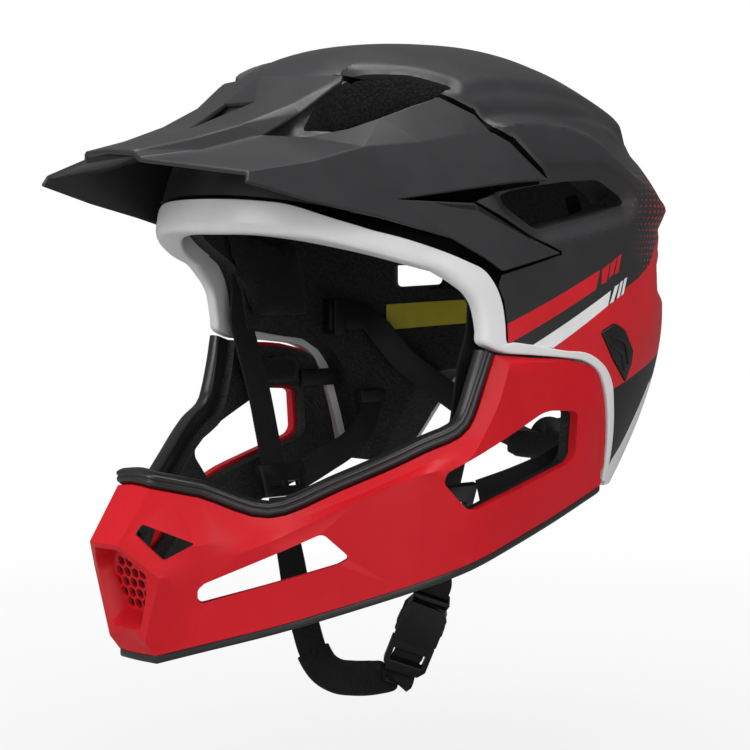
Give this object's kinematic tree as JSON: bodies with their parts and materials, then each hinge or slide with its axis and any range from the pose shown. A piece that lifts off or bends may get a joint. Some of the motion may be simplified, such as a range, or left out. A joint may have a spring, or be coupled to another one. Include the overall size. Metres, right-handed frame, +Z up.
{
  "type": "full-face mountain bike helmet",
  "caption": "Full-face mountain bike helmet with vented shell, sliding visor, chin bar that comes off, fit dial and buckled chin strap.",
  "frame": {"origin": "centre of the wearer's head at ear level", "axes": "+X to the wearer's left, -Y to the front, +Z up"},
  "size_m": [0.226, 0.3215, 0.3315],
  "materials": {
    "shell_plastic": "satin black painted with red, white and black graphics",
    "red_plastic": "satin red paint",
    "white_plastic": "glossy white",
    "black_plastic": "matte black moulded plastic",
    "foam": "black expanded foam",
    "pad_fabric": "black knitted fabric over foam",
    "webbing": "woven black webbing",
    "rubber": "soft black rubber",
    "steel": "brushed",
    "label_paper": "blank yellow film"
  },
  "bodies": {
    "helmet": {"shell": "shell_plastic", "liner": "foam", "face_trim": "white_plastic", "label": "label_paper", "brow_pad": "pad_fabric", "temple_pads": "pad_fabric", "crown_pads": "pad_fabric", "rear_pads": "pad_fabric", "latch_housings": "black_plastic", "visor_sockets": "black_plastic", "strap_anchors": "black_plastic", "band_guides": "black_plastic", "button_spring_left": "steel", "button_spring_right": "steel", "front_strap_left": "webbing", "front_strap_right": "webbing", "rear_strap_left": "webbing", "rear_strap_right": "webbing", "strap_divider_left": "black_plastic", "strap_divider_right": "black_plastic", "buckle_webbing_left": "webbing", "strap_keeper": "rubber", "buckle_female": "black_plastic", "chin_webbing": "webbing", "chin_strap_pad": "pad_fabric"},
    "visor": {"visor": "shell_plastic", "visor_pegs": "black_plastic"},
    "chin_bar": {"chin_bar": "red_plastic", "chin_liner": "foam", "mouth_grille": "red_plastic", "upper_edge_trim": "rubber", "lower_edge_trim": "rubber", "chin_tongues": "steel", "cheek_pads": "pad_fabric"},
    "release_button_left": {"release_button_left": "black_plastic"},
    "release_button_right": {"release_button_right": "black_plastic"},
    "fit_cradle": {"fit_cradle": "black_plastic", "dial_axle": "steel", "nape_pad": "pad_fabric"},
    "fit_dial": {"fit_dial": "black_plastic"},
    "buckle_male": {"buckle_male": "black_plastic"},
    "buckle_prong_front": {"buckle_prong_front": "black_plastic"},
    "buckle_prong_rear": {"buckle_prong_rear": "black_plastic"}
  },
  "joints": [
    {"name": "visor_slide", "type": "slide", "parent": "helmet", "child": "visor", "axis": [0, -0.503, 0.8643], "range_m": [0, 0.012]},
    {"name": "chin_bar_slide", "type": "slide", "parent": "helmet", "child": "chin_bar", "axis": [0, -1, 0], "range_m": [0, 0.05]},
    {"name": "release_button_left_press", "type": "slide", "parent": "helmet", "child": "release_button_left", "axis": [-1, 0, 0], "range_m": [0, 0.003], "stiffness_N_per_m": 800, "springref_m": -0.002, "deforming": ["button_spring_left"]},
    {"name": "release_button_right_press", "type": "slide", "parent": "helmet", "child": "release_button_right", "axis": [1, 0, 0], "range_m": [0, 0.003], "stiffness_N_per_m": 800, "springref_m": -0.002, "deforming": ["button_spring_right"]},
    {"name": "fit_cradle_slide", "type": "slide", "parent": "helmet", "child": "fit_cradle", "axis": [0, -1, 0], "range_m": [0, 0.012]},
    {"name": "fit_dial_turn", "type": "hinge", "parent": "fit_cradle", "child": "fit_dial", "pos_m": [0, 0.1072, -0.044], "axis": [0, 1, 0], "range_deg": [0, 360]},
    {"name": "buckle_slide", "type": "slide", "parent": "helmet", "child": "buckle_male", "axis": [-0.4772, 0, -0.8788], "range_m": [0, 0.013], "deforming": ["chin_webbing", "chin_strap_pad"]},
    {"name": "buckle_prong_front_squeeze", "type": "hinge", "parent": "buckle_male", "child": "buckle_prong_front", "pos_m": [0.0366, -0.03555, -0.12725], "axis": [-0.6531, 0.6691, 0.3546], "range_deg": [0, 5], "stiffness_Nm_per_rad": 0.02, "springref_deg": -2.86},
    {"name": "buckle_prong_rear_squeeze", "type": "hinge", "parent": "buckle_male", "child": "buckle_prong_rear", "pos_m": [0.04459, -0.02545, -0.13159], "axis": [0.6531, -0.6691, -0.3546], "range_deg": [0, 5], "stiffness_Nm_per_rad": 0.02, "springref_deg": -2.86}
  ],
  "couplings": [
    {"joint": "fit_cradle_slide", "follows": "fit_dial_turn", "m_per_rad": 0.0019099}
  ]
}
